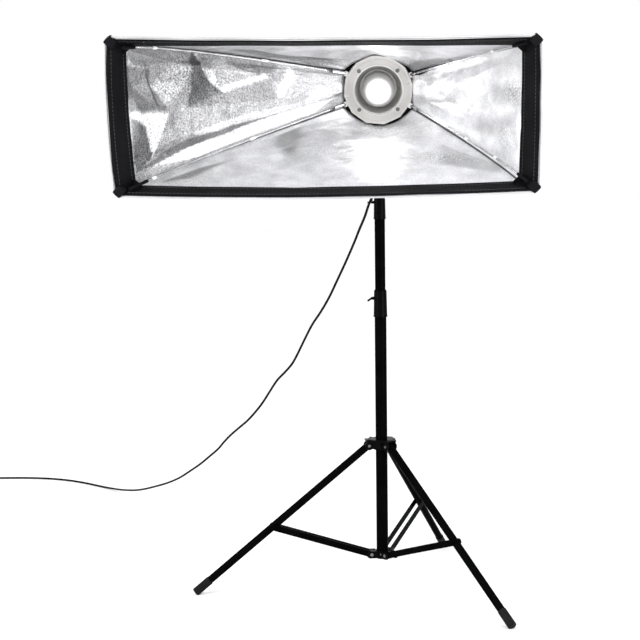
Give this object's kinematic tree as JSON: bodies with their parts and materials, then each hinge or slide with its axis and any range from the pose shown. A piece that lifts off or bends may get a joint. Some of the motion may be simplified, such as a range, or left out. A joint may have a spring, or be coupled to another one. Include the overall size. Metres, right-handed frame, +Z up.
{
  "type": "studio softbox on stand",
  "caption": "Strip softbox with silver lining on a tilting flash head, carried by a folding three-leg light stand with telescopic column and a trailing mains cord.",
  "frame": {"origin": "on the floor, under the middle of the footprint box of the object without its free cord", "axes": "+Z up; the open front of the softbox faces -Y and leans down; +X is to the right seen from the front"},
  "size_m": [1.6257, 1.8035, 1.1628],
  "materials": {
    "stand_black": "semi-gloss black enamel",
    "nylon_black": "moulded black nylon",
    "rubber_black": "matt",
    "steel": "bright",
    "alu": "satin",
    "case": "fine texture dark grey",
    "panel": "satin",
    "controls": "satin",
    "red": "gloss",
    "board": "solder mask",
    "lamp": "frosted tube",
    "dome": "frosted",
    "silver_fabric": "silver foil inside, black outside",
    "black_fabric": "woven nylon",
    "cord": "pvc jacket"
  },
  "bodies": {
    "base": {"lower_tube": "stand_black", "base_plug": "nylon_black", "base_collar": "nylon_black", "base_rivets": "steel", "lock_collar_lower": "nylon_black", "cord_main": "cord", "cord_coil": "cord", "mains_plug": "cord"},
    "hub": {"hub_collar": "nylon_black", "hub_rivets": "steel"},
    "hub_screw": {"hub_knob": "nylon_black"},
    "leg_r": {"leg_right": "stand_black", "foot_right": "rubber_black"},
    "leg_l": {"leg_left": "stand_black", "foot_left": "rubber_black"},
    "leg_b": {"leg_rear": "stand_black", "foot_rear": "rubber_black"},
    "brace_r": {"brace_right": "stand_black"},
    "brace_l": {"brace_left": "stand_black"},
    "brace_b": {"brace_rear": "stand_black"},
    "lower_screw": {"collar_knob_lower": "nylon_black"},
    "mid": {"mid_tube": "stand_black", "tube_bush_mid": "nylon_black", "lock_collar_upper": "nylon_black"},
    "upper_screw": {"collar_knob_upper": "nylon_black"},
    "top": {"top_tube": "stand_black", "tube_bush_top": "nylon_black", "clip_tube": "nylon_black", "cord_tube": "cord"},
    "mount": {"stand_socket": "alu", "tilt_bolt": "steel", "clip_socket": "nylon_black", "cord_neck": "cord"},
    "socket_screw": {"socket_knob": "nylon_black"},
    "tilt_nut": {"tilt_knob": "nylon_black"},
    "head": {"tilt_lug": "case", "head_housing": "case", "front_bezel": "alu", "rear_panel": "panel", "panel_controls": "controls", "inner_electronics": "board", "lamp_plate": "alu", "flash_lamp": "lamp", "glass_dome": "dome", "lead_connector": "cord", "cord_head": "cord"},
    "rocker": {"power_rocker": "controls"},
    "dial": {"power_dial": "panel"},
    "button": {"test_button": "red"},
    "release": {"release_slide": "steel"},
    "softbox": {"speed_ring": "alu", "rod_sockets": "steel", "clamp_screws": "steel", "softbox_rods": "steel", "wall_top": "silver_fabric", "wall_bottom": "silver_fabric", "wall_left": "silver_fabric", "wall_right": "silver_fabric", "front_lip": "black_fabric", "corner_pockets": "black_fabric"}
  },
  "joints": [
    {"name": "hub_slide", "type": "slide", "parent": "base", "child": "hub", "axis": [0, 0, 1], "range_m": [0, 0.2502]},
    {"name": "leg_fold_right", "type": "hinge", "parent": "hub", "child": "leg_r", "pos_m": [0.11541, 0.03625, 0.308], "axis": [0.7804, 0.6252, 0], "range_deg": [0, 47.44]},
    {"name": "brace_fold_right", "type": "hinge", "parent": "base", "child": "brace_r", "pos_m": [0.11353, 0.03859, 0.074], "axis": [0.7804, 0.6252, 0], "range_deg": [-67.61, 0]},
    {"name": "leg_fold_left", "type": "hinge", "parent": "hub", "child": "leg_l", "pos_m": [0.07022, 0.05386, 0.308], "axis": [0.1513, -0.9885, 0], "range_deg": [0, 47.44]},
    {"name": "brace_fold_left", "type": "hinge", "parent": "base", "child": "brace_l", "pos_m": [0.07319, 0.05432, 0.074], "axis": [0.1513, -0.9885, 0], "range_deg": [-67.61, 0]},
    {"name": "leg_fold_rear", "type": "hinge", "parent": "hub", "child": "leg_b", "pos_m": [0.10807, 0.08419, 0.308], "axis": [-0.9317, 0.3633, 0], "range_deg": [0, 47.44]},
    {"name": "brace_fold_rear", "type": "hinge", "parent": "base", "child": "brace_b", "pos_m": [0.10698, 0.08139, 0.074], "axis": [-0.9317, 0.3633, 0], "range_deg": [-67.61, 0]},
    {"name": "hub_screw_turn", "type": "hinge", "parent": "hub", "child": "hub_screw", "pos_m": [0.0979, 0.0581, 0.308], "axis": [-0.6252, 0.7804, 0], "range_deg": [0, 360]},
    {"name": "lower_screw_turn", "type": "hinge", "parent": "base", "child": "lower_screw", "pos_m": [0.0979, 0.0581, 0.621], "axis": [1, 0, 0], "range_deg": [-90, 90]},
    {"name": "mid_slide", "type": "slide", "parent": "base", "child": "mid", "axis": [0, 0, 1], "range_m": [-0.145, 0.27], "deforming": ["cord_main"]},
    {"name": "upper_screw_turn", "type": "hinge", "parent": "mid", "child": "upper_screw", "pos_m": [0.0979, 0.0581, 0.823], "axis": [1, 0, 0], "range_deg": [-90, 90]},
    {"name": "top_slide", "type": "slide", "parent": "mid", "child": "top", "axis": [0, 0, 1], "range_m": [-0.03, 0.28], "deforming": ["cord_tube"]},
    {"name": "pan", "type": "hinge", "parent": "top", "child": "mount", "pos_m": [0.0979, 0.0581, 0.925], "axis": [0, 0, 1], "range_deg": [-120, 120], "deforming": ["cord_neck"]},
    {"name": "socket_screw_turn", "type": "hinge", "parent": "mount", "child": "socket_screw", "pos_m": [0.0979, 0.0581, 0.925], "axis": [1, 0, 0], "range_deg": [0, 360]},
    {"name": "tilt_nut_turn", "type": "hinge", "parent": "mount", "child": "tilt_nut", "pos_m": [0.0973, 0.0581, 0.9847], "axis": [1, 0, 0], "range_deg": [-90, 90]},
    {"name": "tilt", "type": "hinge", "parent": "mount", "child": "head", "pos_m": [0.0973, 0.0581, 0.9847], "axis": [1, 0, 0], "range_deg": [-45, 60], "deforming": ["cord_head"]},
    {"name": "release_slide_move", "type": "slide", "parent": "head", "child": "release", "axis": [0, 0.9792, 0.2028], "range_m": [0, 0.006], "stiffness_N_per_m": 400},
    {"name": "rocker_tip", "type": "hinge", "parent": "head", "child": "rocker", "pos_m": [0.1278, 0.20141, 1.06442], "axis": [1, 0, 0], "range_deg": [0, 18]},
    {"name": "dial_turn", "type": "hinge", "parent": "head", "child": "dial", "pos_m": [0.0713, 0.1922, 1.10642], "axis": [0, -0.9792, -0.2028], "range_deg": [0, 270]},
    {"name": "button_press", "type": "slide", "parent": "head", "child": "button", "axis": [0, -0.9792, -0.2028], "range_m": [0, 0.003], "stiffness_N_per_m": 300},
    {"name": "ring_roll", "type": "hinge", "parent": "head", "child": "softbox", "pos_m": [0.0973, -0.07236, 1.04755], "axis": [0, -0.9792, -0.2028], "continuous": true}
  ],
  "couplings": [
    {"joint": "leg_fold_right", "follows": "hub_slide", "rad_per_m": 3.308},
    {"joint": "brace_fold_right", "follows": "hub_slide", "rad_per_m": -4.715},
    {"joint": "leg_fold_left", "follows": "hub_slide", "rad_per_m": 3.308},
    {"joint": "brace_fold_left", "follows": "hub_slide", "rad_per_m": -4.715},
    {"joint": "leg_fold_rear", "follows": "hub_slide", "rad_per_m": 3.308},
    {"joint": "brace_fold_rear", "follows": "hub_slide", "rad_per_m": -4.715}
  ]
}
